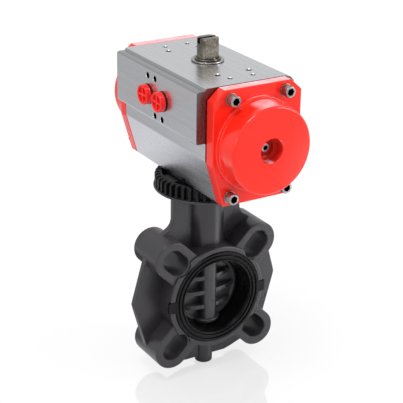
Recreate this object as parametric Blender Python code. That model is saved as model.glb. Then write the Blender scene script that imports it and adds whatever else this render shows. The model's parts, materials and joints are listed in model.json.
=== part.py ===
"""Wafer butterfly valve, two inch size, with a quarter-turn rack-and-pinion air actuator.

Metres, +Z up. X runs across the pipe, Y along the pipe and along the actuator, Z up the stem.
The stem axis is the world Z axis. Lengths below are millimetres; heights are from the bore centre.
"""
import math

import bmesh
import bpy
import numpy as np
from mathutils import Vector

MM = 0.001
GAP = 0.3              # running and seating gap between separate pieces

# ---- valve -------------------------------------------------------------------------------
BORE_HEIGHT = 74.0     # bore centre above the lowest point of the valve
RING_R = 48.0          # barrel outside radius
RING_Y = 23.0          # half the length of the barrel
BARREL_BORE_R = 38.5   # hole the liner sits in
LIP_SEAT_R = 43.4      # shallow seat for the liner's lip at each end
LIP_SEAT_Y = 20.0
LUG_Y = 20.5           # half the depth of the lugs
LUG_R = 17.0
LUG_CENTRE_R = 62.5    # from the bore centre to the centre of a lug's round end
SLOT_R = 9.5           # 19 mm wide slots
SLOT_CENTRE_R = 58.0   # bolt circles from 108 to 124 mm
SLOT_HALF = 4.0
WEB_Y = 3.0            # half the thickness of the web plate
WEB_X = 73.5           # 147 mm overall width
NECK_X = 34.0
COLUMN_R = 15.0
STEM_BORE_R = 10.8
TOP_Z = 101.5          # top of the mounting flange
TOP_R = 46.0
FOOT_R = 8.0
TAB_X = 49.8           # side tabs of the liner

LINER_R = 33.5         # clear bore
LINER_OUT_R = 38.0
LIP_OUT_R = 43.1
LIP_Y = 23.6

DISC_R = 33.2
HUB_X = 7.6
HUB_Y = 12.0
COLLAR_R = 13.0
RIB_Z = (14.3, 0.2, -14.0)
RIB_HALF = 2.1

SQUARE = 5.5           # half the 11 mm square drive of the stem
STEM_R = 8.0
PIN_R = 5.0

DIAL_R = 45.0          # notched index disc
DIAL_ROOT_R = 41.2
DIAL_NOTCHES = 44
DIAL_Z0 = 101.8
DIAL_Z1 = 112.4
MOUNT_PCD_R = 25.0     # four M6 screws on a 50 mm circle

# ---- actuator ----------------------------------------------------------------------------
AXIS_Z = 163.2         # height of the piston axis
BODY_Y = 67.4
BODY_TOP = 212.6
BODY_BOTTOM = 113.7
PAD_X = 50.9           # side face that carries the air ports
CYL_R = 35.0
CAP_Y0 = 67.7
CAP_Y1 = 78.2          # flange face of the end caps
DRUM_Y = 100.4
DRUM_R = 37.3
RIM_R = 40.2
WELL_R = 10.3
SCREW_X = 25.85
SCREW_Z = 41.3
PITCH_R = 12.75        # pinion pitch radius: 17 teeth, module 1.5
TEETH = 17
PISTON_R = 34.6
PISTON_Y0 = 24.0       # inner face of each piston with the disc closed
PISTON_Y1 = 36.0
SHAFT_TOP = 232.6      # 20 mm above the body
PORT_Z = 187.5
PORT_Y = 12.0

COLOURS = {            # linear base colour, roughness, metallic
    'valve_plastic': ((0.055, 0.053, 0.056), 0.45, 0.0),
    'liner_rubber': ((0.012, 0.013, 0.013), 0.55, 0.0),
    'disc_plastic': ((0.060, 0.058, 0.060), 0.40, 0.0),
    'dial_plastic': ((0.008, 0.008, 0.009), 0.40, 0.0),
    'stainless': ((0.50, 0.49, 0.47), 0.25, 1.0),
    'nickel': ((0.62, 0.60, 0.57), 0.22, 1.0),
    'seal_rubber': ((0.010, 0.010, 0.010), 0.60, 0.0),
    'bush_plastic': ((0.70, 0.69, 0.64), 0.50, 0.0),
    'body_anodised': ((0.38, 0.38, 0.40), 0.42, 0.6),
    'cap_red': ((0.86, 0.040, 0.022), 0.28, 0.0),
    'plug_red': ((0.72, 0.022, 0.016), 0.35, 0.0),
    'piston_aluminium': ((0.55, 0.56, 0.58), 0.40, 1.0),
}

Z0 = BORE_HEIGHT * MM


def clear_scene():
    for ob in list(bpy.data.objects):
        bpy.data.objects.remove(ob, do_unlink=True)
    for me in list(bpy.data.meshes):
        bpy.data.meshes.remove(me)


def material(name):
    mat = bpy.data.materials.get(name)
    if mat is None:
        mat = bpy.data.materials.new(name)
        mat.use_nodes = True
        colour, rough, metal = COLOURS[name]
        bsdf = mat.node_tree.nodes['Principled BSDF']
        bsdf.inputs['Base Color'].default_value = (*colour, 1.0)
        bsdf.inputs['Roughness'].default_value = rough
        bsdf.inputs['Metallic'].default_value = metal
        mat.diffuse_color = (*colour, 1.0)
    return mat


def mesh_object(name, verts, faces):
    me = bpy.data.meshes.new(name)
    me.from_pydata([Vector(v) * MM for v in verts], [], faces)
    bm = bmesh.new()
    bm.from_mesh(me)
    bmesh.ops.remove_doubles(bm, verts=bm.verts, dist=1e-7)
    bmesh.ops.recalc_face_normals(bm, faces=bm.faces)
    bm.to_mesh(me)
    bm.free()
    ob = bpy.data.objects.new(name, me)
    bpy.context.collection.objects.link(ob)
    return ob


def to_axis(axis, u, v, h):
    """Point with in-plane coordinates u, v and height h along the axis."""
    if axis == 'Z':
        return (u, v, h)
    if axis == 'Y':
        return (u, h, v)
    return (h, u, v)


def loft(name, axis, rings):
    """Solid through a stack of closed outlines; each ring is (points, height)."""
    n = len(rings[0][0])
    verts = [to_axis(axis, u, v, h) for pts, h in rings for u, v in pts]
    faces = [list(range(n)), list(range(len(verts) - n, len(verts)))]
    for k in range(len(rings) - 1):
        a, b = k * n, (k + 1) * n
        faces += [[a + i, a + (i + 1) % n, b + (i + 1) % n, b + i] for i in range(n)]
    return mesh_object(name, verts, faces)


def prism(name, axis, pts, lo, hi):
    return loft(name, axis, [(pts, lo), (pts, hi)])


def box(name, x0, x1, y0, y1, z0, z1):
    return prism(name, 'Z', [(x0, y0), (x1, y0), (x1, y1), (x0, y1)], z0, z1)


def circle(r, n, cu=0.0, cv=0.0, start=0.0):
    return [(cu + r * math.cos(start + 2 * math.pi * i / n),
             cv + r * math.sin(start + 2 * math.pi * i / n)) for i in range(n)]


def cylinder(name, axis, r, lo, hi, n=32, cu=0.0, cv=0.0, start=0.0):
    return prism(name, axis, circle(r, n, cu, cv, start), lo, hi)


def revolve(name, axis, profile, n=48, cu=0.0, cv=0.0, closed=False):
    """Turned solid. profile is (radius, height) pairs; a closed profile makes a ring."""
    verts, rows = [], []
    for r, h in profile:
        if r <= 1e-6:
            rows.append([len(verts)] * n)
            verts.append(to_axis(axis, cu, cv, h))
        else:
            rows.append(list(range(len(verts), len(verts) + n)))
            verts += [to_axis(axis, u, v, h) for u, v in circle(r, n, cu, cv)]
    faces = []
    last = len(rows) if closed else len(rows) - 1
    for k in range(last):
        a, b = rows[k], rows[(k + 1) % len(rows)]
        for i in range(n):
            j = (i + 1) % n
            f = list(dict.fromkeys([a[i], a[j], b[j], b[i]]))
            if len(f) > 2:
                faces.append(f)
    return mesh_object(name, verts, faces)


def ring(name, axis, r0, r1, lo, hi, n=40, chamfer=0.0):
    c = chamfer
    if c:
        prof = [(r0, lo), (r1 - c, lo), (r1, lo + c), (r1, hi - c), (r1 - c, hi), (r0, hi)]
    else:
        prof = [(r0, lo), (r1, lo), (r1, hi), (r0, hi)]
    return revolve(name, axis, prof, n, closed=True)


def torus(name, axis, r, minor, h, n=36, m=8, cu=0.0, cv=0.0):
    prof = [(r + minor * math.cos(2 * math.pi * k / m), h + minor * math.sin(2 * math.pi * k / m))
            for k in range(m)]
    return revolve(name, axis, prof, n, cu, cv, closed=True)


def stadium(half, r, angle, centre_r, n=24):
    """Round-ended slot outline at an angle round the bore centre."""
    c, s = math.cos(angle), math.sin(angle)
    pts = []
    for k in range(n + 1):
        t = -math.pi / 2 + math.pi * k / n
        pts.append((half + r * math.cos(t), r * math.sin(t)))
    for k in range(n + 1):
        t = math.pi / 2 + math.pi * k / n
        pts.append((-half + r * math.cos(t), r * math.sin(t)))
    return [((centre_r + a) * c - b * s, (centre_r + a) * s + b * c) for a, b in pts]


def rounded(pts, n=4):
    """Round the corners of an outline; each point is (u, v, radius)."""
    out = []
    m = len(pts)
    for i, (u, v, r) in enumerate(pts):
        p = Vector((u, v))
        if r <= 0:
            out.append((u, v))
            continue
        a = Vector(pts[i - 1][:2]) - p
        b = Vector(pts[(i + 1) % m][:2]) - p
        a.normalize()
        b.normalize()
        half = a.angle(b) / 2
        centre = p + (a + b).normalized() * (r / math.sin(half))
        p0, p1 = p + a * (r / math.tan(half)), p + b * (r / math.tan(half))
        a0 = math.atan2(p0.y - centre.y, p0.x - centre.x)
        d = math.atan2(p1.y - centre.y, p1.x - centre.x) - a0
        d = (d + math.pi) % (2 * math.pi) - math.pi
        out += [(centre.x + r * math.cos(a0 + d * k / n), centre.y + r * math.sin(a0 + d * k / n))
                for k in range(n + 1)]
    return out


def mirrored(half):
    """Close an outline given for u >= 0, bottom to top, by mirroring it."""
    return half + [(-u, v) for u, v in reversed(half) if u > 1e-6]


def combine(ob, op, tool):
    mod = ob.modifiers.new('cut', 'BOOLEAN')
    mod.operation = op
    mod.solver = 'EXACT'
    mod.object = tool
    deps = bpy.context.evaluated_depsgraph_get()
    me = bpy.data.meshes.new_from_object(ob.evaluated_get(deps))
    ob.modifiers.clear()
    old = ob.data
    ob.data = me
    bpy.data.meshes.remove(old)
    bpy.data.objects.remove(tool, do_unlink=True)
    return ob


def add(ob, *tools):
    for t in tools:
        combine(ob, 'UNION', t)
    return ob


def cut(ob, *tools):
    for t in tools:
        combine(ob, 'DIFFERENCE', t)
    return ob


def finish(ob, name, mat, loc=(0.0, 0.0, 0.0), rot=None, angle=35.0):
    """Name, colour and place a piece; loc is in millimetres from the bore centre."""
    ob.name = name
    me = ob.data
    me.name = name
    bm = bmesh.new()
    bm.from_mesh(me)
    bmesh.ops.remove_doubles(bm, verts=bm.verts, dist=2e-6)
    bmesh.ops.dissolve_degenerate(bm, edges=bm.edges, dist=2e-6)
    bmesh.ops.recalc_face_normals(bm, faces=bm.faces)
    bm.to_mesh(me)
    bm.free()
    me.materials.clear()
    me.materials.append(material(mat))
    me.polygons.foreach_set('use_smooth', [True] * len(me.polygons))
    me.polygons.foreach_set('material_index', [0] * len(me.polygons))
    me.set_sharp_from_angle(angle=math.radians(angle))
    ob.location = (loc[0] * MM, loc[1] * MM, loc[2] * MM + Z0)
    if rot:
        ob.rotation_euler = rot
    return ob


# ---- the valve ---------------------------------------------------------------------------
def build_valve_body():
    body = cylinder('valve_body', 'Y', RING_R, -RING_Y, RING_Y, 52)
    half = [(0.0, -68.4), (21.0, -68.4), (28.5, -66.2), (44.0, -60.5), (60.0, -47.0), (63.0, -38.0),
            (72.6, -4.0), (WEB_X, 0.0), (72.6, 4.0), (63.0, 38.0), (58.0, 50.0), (46.0, 60.6),
            (41.5, 64.0), (37.5, 66.6), (35.0, 69.6), (NECK_X, 73.5), (NECK_X, 99.8)]
    add(body, prism('web', 'Y', mirrored(half), -WEB_Y, WEB_Y))
    for k in range(4):
        a = math.pi / 4 + k * math.pi / 2
        c, s = math.cos(a), math.sin(a)
        pts = [(40.0, -LUG_R)]
        pts += [(LUG_CENTRE_R + LUG_R * math.cos(t), LUG_R * math.sin(t))
                for t in np.linspace(-math.pi / 2, math.pi / 2, 13)]
        pts += [(40.0, LUG_R)]
        pts = [(u * c - v * s, u * s + v * c) for u, v in pts]
        add(body, prism('lug', 'Y', pts, -LUG_Y, LUG_Y))
    add(body, cylinder('column', 'Z', COLUMN_R, 40.0, 99.9, 28))
    add(body, revolve('flange', 'Z', [(0.0, 96.2), (35.0, 96.2), (36.0, 97.0), (36.0, 99.4), (45.2, 99.4),
                                      (TOP_R, 100.2), (TOP_R, TOP_Z), (0.0, TOP_Z)], 44))
    add(body, revolve('foot', 'Z', [(0.0, -44.0), (FOOT_R, -44.0), (FOOT_R, -73.0), (FOOT_R - 1.0, -74.0),
                                    (0.0, -74.0)], 20))
    cut(body, cylinder('bore', 'Y', BARREL_BORE_R, -30.0, 30.0, 44))
    for side in (-1, 1):
        lo, hi = sorted((side * LIP_SEAT_Y, side * 26.0))
        cut(body, cylinder('seat', 'Y', LIP_SEAT_R, lo, hi, 48))
        for x in (-1, 1):
            x0, x1 = sorted((x * 41.0, x * 52.0))
            cut(body, box('notch', x0, x1, lo, hi, -5.5, 5.5))
    for k in range(4):
        a = math.pi / 4 + k * math.pi / 2
        cut(body, prism('slot', 'Y', stadium(SLOT_HALF, SLOT_R, a, SLOT_CENTRE_R, 8), -26.0, 26.0))
        u, v = MOUNT_PCD_R * math.cos(a), MOUNT_PCD_R * math.sin(a)
        cut(body, cylinder('hole', 'Z', 3.4, 90.0, 106.0, 12, u, v))
        cut(body, cylinder('recess', 'Z', 6.2, 90.0, 99.0, 12, u, v))
    cut(body, cylinder('stem_bore', 'Z', STEM_BORE_R, 30.0, 106.0, 26, start=0.05))
    cut(body, cylinder('pin_bore', 'Z', PIN_R + GAP + 0.1, -65.0, -30.0, 16))
    return finish(body, 'valve_body', 'valve_plastic')


def lip_profile():
    """One end of the liner, from the clear bore round the lip to the tube."""
    return [(LINER_R, 20.6), (34.6, 23.3), (35.8, LIP_Y), (36.4, 22.9), (37.1, LIP_Y), (39.6, LIP_Y),
            (40.2, 22.9), (40.9, LIP_Y), (42.4, LIP_Y), (LIP_OUT_R, 22.8), (LIP_OUT_R, 20.4),
            (LINER_OUT_R, 20.4)]


def build_liner():
    end = lip_profile()
    prof = [(r, y) for r, y in end] + [(r, -y) for r, y in reversed(end)]
    liner = revolve('liner', 'Y', prof, 40, closed=True)
    for side in (-1, 1):
        for x in (-1, 1):
            x0, x1 = sorted((x * 41.6, x * TAB_X))
            y0, y1 = sorted((side * 20.5, side * 23.3))
            add(liner, box('tab', x0, x1, y0, y1, -5.1, 5.1))
    cut(liner, cylinder('stem_hole', 'Z', STEM_R + GAP, 25.0, 45.0, 24),
        cylinder('pin_hole', 'Z', PIN_R + GAP, -45.0, -25.0, 16))
    return finish(liner, 'liner', 'liner_rubber', angle=28.0)


def build_disc():
    prof = [(0.0, -2.2), (27.8, -2.2), (28.8, -3.5), (31.0, -3.5), (32.4, -2.6), (33.0, -1.2),
            (33.0, 1.2), (32.4, 2.6), (31.0, 3.5), (28.8, 3.5), (27.8, 2.2), (0.0, 2.2)]
    disc = revolve('disc', 'Y', prof, 40)
    hub = rounded([(-HUB_X, -HUB_Y, 3.6), (HUB_X, -HUB_Y, 3.6), (HUB_X, HUB_Y, 3.6), (-HUB_X, HUB_Y, 3.6)])
    add(disc, prism('hub', 'Z', hub, -29.5, 29.5))
    for z in RIB_Z:
        end = math.sqrt(30.0 ** 2 - (abs(z) + RIB_HALF) ** 2)
        rib = [(0.0, -10.6), (0.34 * end, -10.3), (0.56 * end, -8.9), (0.75 * end, -6.8), (end, -2.9)]
        rib = rib + [(u, -v) for u, v in reversed(rib)]
        rib = rib + [(-u, v) for u, v in reversed(rib) if u > 1e-6]
        add(disc, prism('rib', 'Z', rib, z - RIB_HALF, z + RIB_HALF))
    top = [(0.0, 28.0), (COLLAR_R, 28.0), (COLLAR_R, 30.3), (10.2, 31.4), (0.0, 32.4)]
    add(disc, revolve('collar', 'Z', top, 24))
    add(disc, revolve('collar', 'Z', [(r, -z) for r, z in top], 24))
    s = SQUARE + GAP
    cut(disc, box('drive', -s, s, -s, s, -36.0, 36.0))
    return finish(disc, 'disc', 'disc_plastic')


def build_stem():
    stem = revolve('stem', 'Z', [(0.0, -62.0), (4.2, -62.0), (PIN_R, -61.2), (PIN_R, -30.5), (0.0, -30.5)], 16)
    s = SQUARE
    add(stem, box('drive', -s, s, -s, s, -31.4, 126.0))
    add(stem, revolve('journal', 'Z', [(0.0, 33.4), (STEM_R, 33.4), (STEM_R, 100.8), (0.0, 100.8)], 24))
    return finish(stem, 'stem', 'stainless')


def build_stem_pieces():
    r0, r1 = STEM_R + GAP, STEM_BORE_R - GAP
    finish(ring('b', 'Z', r0, r1, 39.5, 54.0, 24), 'stem_bush_lower', 'bush_plastic')
    mid = (STEM_R + STEM_BORE_R) / 2
    for k, z in enumerate((55.6, 58.3)):
        finish(torus('o', 'Z', mid, 1.0, 0.0, 20, 5), 'stem_o_ring_%d' % (k + 1), 'seal_rubber', (0, 0, z))
    finish(ring('b', 'Z', r0, r1, 59.9, 95.0, 24), 'stem_bush_upper', 'bush_plastic')
    finish(ring('b', 'Z', r0, r1, 95.4, 97.4, 24), 'stem_retaining_ring', 'stainless')


def build_dial():
    def outline(tip, root):
        pts = []
        for k in range(DIAL_NOTCHES):
            a = 2 * math.pi * k / DIAL_NOTCHES
            p = math.pi / DIAL_NOTCHES
            for r, off in ((root, -0.56), (tip, -0.44), (tip, 0.44), (root, 0.56)):
                pts.append((r * math.cos(a + off * p), r * math.sin(a + off * p)))
        return pts
    low = outline(DIAL_R, DIAL_ROOT_R)
    high = outline(DIAL_R - 0.3, DIAL_ROOT_R)
    top = outline(DIAL_R - 1.9, DIAL_ROOT_R - 0.3)
    dial = loft('index_disc', 'Z', [(low, DIAL_Z0), (high, DIAL_Z1 - 2.0), (top, DIAL_Z1)])
    add(dial, cylinder('pad', 'Z', 30.4, DIAL_Z1 - 3.0, 113.4, 32))
    cut(dial, cylinder('centre', 'Z', 12.4, 95.0, 120.0, 28))
    for k in range(4):
        a = math.pi / 4 + k * math.pi / 2
        cut(dial, cylinder('hole', 'Z', 3.4, 95.0, 120.0, 12, MOUNT_PCD_R * math.cos(a), MOUNT_PCD_R * math.sin(a)))
        arc = [(38.6 * math.cos(t), 38.6 * math.sin(t)) for t in np.linspace(a - 0.55, a + 0.55, 8)]
        arc += [(33.6 * math.cos(t), 33.6 * math.sin(t)) for t in np.linspace(a + 0.55, a - 0.55, 8)]
        cut(dial, prism('pocket', 'Z', arc, DIAL_Z1 - 4.0, 120.0))
    return finish(dial, 'index_disc', 'dial_plastic')


def build_mount_screws():
    for k in range(4):
        a = math.pi / 4 + k * math.pi / 2
        head = prism('s', 'Z', circle(5.6, 6), 0.0, 4.0)
        add(head, cylinder('shank', 'Z', 3.0, 3.5, 26.0, 10))
        finish(head, 'mounting_screw_%d' % (k + 1), 'stainless',
               (MOUNT_PCD_R * math.cos(a), MOUNT_PCD_R * math.sin(a), 94.7))


# ---- the actuator ------------------------------------------------------------------------
def body_outline():
    left = [(-31.2, BODY_BOTTOM, 1.0), (-42.3, 151.6, 1.0), (-42.3, 166.7, 0.6), (-PAD_X, 166.7, 1.6),
            (-PAD_X, 210.6, 2.2), (-43.4, 210.6, 0.8), (-41.9, BODY_TOP, 0.9)]
    right = [(33.5, BODY_TOP, 0), (38.2, 211.0, 0), (41.4, 207.4, 0), (42.3, 203.0, 0),
             (42.3, 151.6, 1.0), (31.2, BODY_BOTTOM, 1.0)]
    return rounded(left + right, 2)


def build_actuator_body():
    body = prism('actuator_body', 'Y', body_outline(), -BODY_Y, BODY_Y)
    cut(body, cylinder('cylinder_bore', 'Y', CYL_R, -80.0, 80.0, 40, 0.0, AXIS_Z))
    cut(body, cylinder('top_bore', 'Z', 13.2, 190.0, 220.0, 28))
    cut(body, cylinder('bottom_bore', 'Z', 14.6, 100.0, 135.0, 28))
    for s in (-1, 1):
        for x in (-1, 1):
            for z in (-1, 1):
                lo, hi = sorted((s * 50.0, s * 75.0))
                cut(body, cylinder('tapping', 'Y', 3.4, lo, hi, 12, x * SCREW_X, AXIS_Z - 0.2 + z * SCREW_Z))
        cut(body, cylinder('port', 'X', 6.6, -60.0, -41.0, 18, s * PORT_Y, PORT_Z))
        cut(body, cylinder('way', 'X', 2.5, -44.0, -20.0, 10, s * PORT_Y, PORT_Z))
        for x, y, r, d in ((15.0, 40.0, 2.6, 8.0), (11.0, 52.7, 2.1, 6.0)):
            for t in (-1, 1):
                cut(body, cylinder('tap', 'Z', r, BODY_TOP - d, 220.0, 10, t * x, s * y))
    for y, z in ((12.0, 16.0), (0.0, 16.0), (0.0, -16.0), (-12.0, -16.0)):
        cut(body, cylinder('tap', 'X', 2.3, -60.0, -43.0, 10, y, PORT_Z + z))
    for k in range(4):
        a = math.pi / 4 + k * math.pi / 2
        cut(body, cylinder('tapping', 'Z', 3.4, 100.0, 121.6, 12,
                           MOUNT_PCD_R * math.cos(a), MOUNT_PCD_R * math.sin(a)))
    return finish(body, 'actuator_body', 'body_anodised')


def cap_flange_outline():
    half = [(31.3, -49.5), (41.9, -13.6), (41.9, 39.7), (31.4, 49.2)]
    return rounded([(u, AXIS_Z + v, 0.6) for u, v in mirrored(half)], 2)


def build_cap(side, name):
    """End cap built for the -Y end; side = 1 turns it round for the other end."""
    def lane(pts):
        return [(r, side * y) for r, y in pts]
    y0, y1 = sorted((side * CAP_Y0, side * CAP_Y1))
    cap = prism(name, 'Y', cap_flange_outline(), y0, y1)
    outer = [(0.0, 72.0), (RIM_R, 72.0), (RIM_R, 80.1), (RIM_R - 0.7, 80.7), (39.2, 80.4), (38.2, 81.2),
             (37.6, 83.8), (DRUM_R, 98.2), (36.5, 99.8), (35.2, DRUM_Y), (0.0, DRUM_Y)]
    add(cap, revolve('drum', 'Y', lane(outer), 44, 0.0, AXIS_Z))
    inner = [(14.2, 60.0), (33.3, 60.0), (33.3, 94.0), (31.0, 96.4), (14.2, 96.4)]
    cut(cap, revolve('chamber', 'Y', lane(inner), 28, 0.0, AXIS_Z, closed=True))
    y0, y1 = sorted((side * 60.0, side * 82.5))
    cut(cap, cylinder('core_end', 'Y', 16.0, y0, y1, 20, 0.0, AXIS_Z))
    well = [(0.0, 78.0), (4.35, 78.0), (4.35, 87.0), (7.6, 87.0), (7.6, 90.5), (WELL_R, 90.5),
            (WELL_R, 99.9), (WELL_R + 0.6, 106.0), (0.0, 106.0)]
    cut(cap, revolve('well', 'Y', lane(well), 20, 0.0, AXIS_Z))
    groove = [(35.6, 60.0), (38.4, 60.0), (38.4, 69.9), (35.6, 69.9)]
    cut(cap, revolve('groove', 'Y', lane(groove), 28, 0.0, AXIS_Z, closed=True))
    for x in (-1, 1):
        for z in (-1, 1):
            y0, y1 = sorted((side * 60.0, side * 90.0))
            cut(cap, cylinder('hole', 'Y', 3.4, y0, y1, 12, x * SCREW_X, AXIS_Z - 0.2 + z * SCREW_Z))
    finish(cap, name, 'cap_red')


def socket_screw(head_r, head_h, shank_r, length, socket_r, depth, n=10):
    """Socket head screw: head front at 0 facing +Z, shank pointing to -Z."""
    prof = [(0.0, -head_h - length), (shank_r, -head_h - length), (shank_r, -head_h), (head_r, -head_h), (head_r, -0.6), (head_r - 0.5, 0.0), (0.0, 0.0)]
    screw = revolve('screw', 'Z', prof, n)
    return cut(screw, prism('socket', 'Z', circle(socket_r, 6), -depth, 2.0))


def build_cap_fasteners():
    for side, end in ((-1, 'front'), (1, 'rear')):
        turn = (math.pi / 2, 0, 0) if side < 0 else (-math.pi / 2, 0, 0)
        k = 0
        for z in (1, -1):
            for x in (-1, 1):
                k += 1
                at = (x * SCREW_X, side * 86.1, AXIS_Z - 0.2 + z * SCREW_Z)
                screw = socket_screw(4.9, 6.0, 3.0, 27.0, 2.9, 3.4)
                finish(screw, '%s_cap_screw_%d' % (end, k), 'stainless', at, turn)
                washer = ring('w', 'Z', 3.3, 5.4, -1.0, 0.0, 12)
                finish(washer, '%s_cap_washer_%d' % (end, k), 'stainless', (at[0], side * 79.6, at[2]), turn)
        stop = socket_screw(4.0, 1.0, 4.0, 32.5, 2.3, 5.0, 12)
        finish(stop, '%s_stop_screw' % end, 'stainless', (0, side * 90.2, AXIS_Z), turn)
        seal = torus('s', 'Y', 37.0, 0.85, 0.0, 28, 4)
        finish(seal, '%s_cap_seal' % end, 'seal_rubber', (0, side * 68.85, AXIS_Z))


def build_pinion():
    pts = []
    step = 2 * math.pi / TEETH
    for k in range(TEETH):
        a = k * step
        for r, w in ((10.9, -1.35), (13.0, -0.72), (14.0, -0.42), (14.0, 0.42), (13.0, 0.72), (10.9, 1.35)):
            pts.append((r * math.cos(a + w / r), r * math.sin(a + w / r)))
    pinion = prism('pinion', 'Z', pts, 140.5, 187.0)
    add(pinion, revolve('lower', 'Z', [(0.0, 114.2), (11.6, 114.2), (12.0, 114.7), (12.0, 129.0), (10.6, 130.0),
                                       (10.6, 141.0), (0.0, 141.0)], 24))
    add(pinion, revolve('upper', 'Z', [(0.0, 186.0), (10.4, 186.0), (10.4, 212.0), (9.2, 212.4), (9.2, SHAFT_TOP - 0.7),
                                       (8.5, SHAFT_TOP), (0.0, SHAFT_TOP)], 28))
    for s in (-1, 1):
        y0, y1 = sorted((s * 6.8, s * 12.0))
        cut(pinion, box('flat', -12.0, 12.0, y0, y1, 216.4, 240.0))
    cut(pinion, box('slot', -12.0, 12.0, -2.0, 2.0, SHAFT_TOP - 4.5, 240.0))
    s = SQUARE + GAP
    cut(pinion, box('socket', -s, s, -s, s, 105.0, 127.0))
    return finish(pinion, 'pinion', 'nickel')


def build_pinion_pieces():
    finish(ring('b', 'Z', 12.0 + GAP, 14.6 - GAP, 116.0, 127.0, 28), 'pinion_bush_lower', 'bush_plastic')
    finish(ring('b', 'Z', 10.5 + GAP, 13.2 - GAP, 199.5, 211.5, 28), 'pinion_bush_upper', 'bush_plastic')
    finish(ring('w', 'Z', 9.5, 14.0, BODY_TOP + 0.3, BODY_TOP + 1.5, 32, 0.3), 'thrust_washer', 'stainless')
    finish(ring('c', 'Z', 9.6, 11.2, BODY_TOP + 1.8, BODY_TOP + 3.0, 28, 0.3), 'shaft_clip', 'nickel')


def rack_outline(x_side, y_from, y_to, tooth_at_zero):
    """Rack bar outline in the XY plane; teeth face the stem axis."""
    pitch = math.pi * 2 * PITCH_R / TEETH
    tip, root, back = 11.7, 14.4, 24.0
    offset = 0.0 if tooth_at_zero else pitch / 2
    pts = [(back, y_from), (root, y_from)]
    k = math.ceil((y_from + 1.6 - offset) / pitch)
    while offset + k * pitch < y_to - 1.6:
        y = offset + k * pitch
        pts += [(root, y - 1.35), (tip, y - 0.42), (tip, y + 0.42), (root, y + 1.35)]
        k += 1
    pts += [(root, y_to), (back, y_to)]
    return [(x_side * u, v) for u, v in pts]


def build_piston(side, name):
    """side is -1 for the piston at -Y, whose rack runs on the -X side of the pinion."""
    prof = [(0.0, PISTON_Y0), (PISTON_R - 0.6, PISTON_Y0), (PISTON_R, PISTON_Y0 + 0.6), (PISTON_R, 28.6),
            (32.5, 28.6), (32.5, 31.4), (PISTON_R, 31.4), (PISTON_R, PISTON_Y1 - 0.6), (PISTON_R - 0.6, PISTON_Y1),
            (0.0, PISTON_Y1)]
    piston = revolve(name, 'Y', [(r, side * y) for r, y in prof], 36, 0.0, AXIS_Z)
    y0, y1 = sorted((-side * 23.5, side * 25.0))
    rack = prism('rack', 'Z', rack_outline(side, y0, y1, side < 0), 142.0, 185.0)
    add(piston, rack)
    relief = [(8.0, 30.0), (28.0, 30.0), (28.0, 45.0), (8.0, 45.0)]
    cut(piston, revolve('relief', 'Y', [(r, side * y) for r, y in relief], 20, 0.0, AXIS_Z, closed=True))
    finish(piston, name, 'piston_aluminium')
    seal = torus('s', 'Y', 33.75, 0.85, 0.0, 28, 4)
    finish(seal, name + '_seal', 'seal_rubber', (0, side * 30.0, AXIS_Z))


def build_port_plugs():
    for k, y in enumerate((PORT_Y, -PORT_Y)):
        plug = revolve('p', 'Z', [(0.0, -8.0), (5.6, -8.0), (6.2, -7.4), (6.2, 0.0), (8.5, 0.0), (8.5, 2.9),
                                  (7.9, 3.5), (0.0, 3.5)], 20)
        for c in range(4):
            a = c * math.pi / 2
            wedge = [(1.1, 1.1), (5.6, 1.1), (5.0, 3.3), (3.3, 5.0), (1.1, 5.6)]
            wedge = [(u * math.cos(a) - v * math.sin(a), u * math.sin(a) + v * math.cos(a)) for u, v in wedge]
            cut(plug, prism('pocket', 'Z', wedge, 0.8, 6.0))
        turn = (0, -math.pi / 2, 0)
        finish(plug, 'port_plug_%d' % (k + 1), 'plug_red', (-PAD_X - 2.2, y, PORT_Z), turn)
        washer = ring('w', 'Z', 6.5, 8.8, 0.0, 1.6, 20, 0.3)
        finish(washer, 'port_washer_%d' % (k + 1), 'seal_rubber', (-PAD_X - 0.3, y, PORT_Z), turn)


clear_scene()
build_valve_body()
build_liner()
build_disc()
build_stem()
build_stem_pieces()
build_dial()
build_mount_screws()
build_actuator_body()
build_cap(-1, 'front_cap')
build_cap(1, 'rear_cap')
build_cap_fasteners()
build_pinion()
build_pinion_pieces()
build_piston(-1, 'front_piston')
build_piston(1, 'rear_piston')
build_port_plugs()
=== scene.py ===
"""Finished look of the actuated butterfly valve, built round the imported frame.

Lengths are millimetres and heights are from the middle of the bore, unless a name or a
comment says metres. Studio and shader lengths are metres.
"""
import json
import math

import bmesh
import bpy
from mathutils import Matrix, Vector


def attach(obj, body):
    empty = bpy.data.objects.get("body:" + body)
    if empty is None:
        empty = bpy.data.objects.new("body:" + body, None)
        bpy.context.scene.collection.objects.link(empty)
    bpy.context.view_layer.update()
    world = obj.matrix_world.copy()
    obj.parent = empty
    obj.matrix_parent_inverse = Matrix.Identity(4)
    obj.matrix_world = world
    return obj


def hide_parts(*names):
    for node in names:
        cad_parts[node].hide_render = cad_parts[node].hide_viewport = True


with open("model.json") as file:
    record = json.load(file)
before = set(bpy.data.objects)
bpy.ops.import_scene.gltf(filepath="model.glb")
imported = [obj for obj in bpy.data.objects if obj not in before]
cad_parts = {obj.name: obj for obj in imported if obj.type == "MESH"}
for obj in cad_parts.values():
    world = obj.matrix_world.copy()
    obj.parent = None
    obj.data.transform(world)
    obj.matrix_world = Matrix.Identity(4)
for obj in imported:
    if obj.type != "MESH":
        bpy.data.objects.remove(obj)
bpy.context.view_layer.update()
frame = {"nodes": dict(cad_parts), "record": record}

MM = 0.001
WELD = 2e-6                              # metres; corners closer than this become one
NEAR = 0.01                              # how far off a plane a corner may lie and still count
BORE_HEIGHT = 74.0                       # middle of the bore above the end of the foot
CYLINDER_Z = 163.2                       # height of the two pistons' axis
SCREW_HOLE = 3.4                         # radius of a clearance hole
SQUARE = (-5.8, 5.8)                     # sides of the stem's square drive
ALONG = {'X': Vector((1, 0, 0)), 'Y': Vector((0, 1, 0)), 'Z': Vector((0, 0, 1))}


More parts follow.
